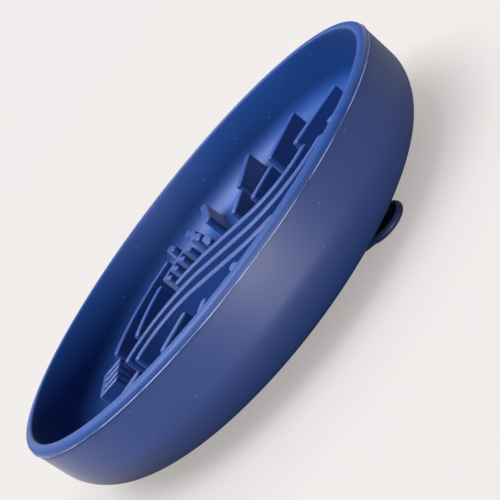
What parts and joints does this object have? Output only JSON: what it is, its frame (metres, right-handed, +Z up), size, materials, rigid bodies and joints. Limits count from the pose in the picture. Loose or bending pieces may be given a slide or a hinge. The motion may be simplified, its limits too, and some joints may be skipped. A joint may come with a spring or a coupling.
{
  "type": "slow feeder bowl",
  "caption": "Round silicone slow feeder bowl with a maze of low walls on its floor, a wide suction foot below and a pull tab that lets the suction go.",
  "frame": {"origin": "middle of the plane that the suction foot rests on, on the bowl's axis", "axes": "+Z up along the bowl's axis, -Y from the axis towards the pull tab, +X to the right seen from the tab with the mouth up"},
  "size_m": [0.2406, 0.2406, 0.047],
  "materials": {
    "silicone_bowl": "matt navy blue silicone with a fine moulded skin",
    "silicone_maze": "matt navy blue silicone, paler where the top edges catch light",
    "silicone_foot": "matt navy blue silicone, smooth on the lip"
  },
  "bodies": {
    "bowl": {"bowl_floor": "silicone_bowl", "bowl_corner": "silicone_bowl", "bowl_wall": "silicone_bowl", "bowl_rim": "silicone_bowl", "flow_wall_centre": "silicone_maze", "flow_wall_near": "silicone_maze", "flow_wall_far": "silicone_maze", "outer_bar_1": "silicone_maze", "outer_bar_2": "silicone_maze", "outer_bar_3": "silicone_maze", "outer_bar_4": "silicone_maze", "outer_bar_5": "silicone_maze", "outer_bar_6": "silicone_maze", "outer_bar_7": "silicone_maze", "outer_bar_8": "silicone_maze", "inner_bar_1": "silicone_maze", "inner_bar_2": "silicone_maze", "inner_bar_3": "silicone_maze", "inner_bar_4": "silicone_maze", "inner_bar_5": "silicone_maze", "inner_bar_6": "silicone_maze", "ring_wall_1": "silicone_maze", "ring_wall_2": "silicone_maze", "ring_wall_3": "silicone_maze", "ring_wall_4": "silicone_maze", "comb_1": "silicone_maze", "comb_2": "silicone_maze", "comb_3": "silicone_maze", "comb_4": "silicone_maze", "wave_wall_1": "silicone_maze", "wave_wall_2": "silicone_maze", "wall_stub_1": "silicone_maze", "wall_stub_2": "silicone_maze", "suction_foot": "silicone_foot"},
    "tab": {"pull_tab": "silicone_foot"}
  },
  "joints": [
    {"name": "tab_bend", "type": "hinge", "parent": "bowl", "child": "tab", "pos_m": [0, -0.092, 0.0019], "axis": [-1, 0, 0], "range_deg": [-45, 12], "stiffness_Nm_per_rad": 0.014}
  ]
}
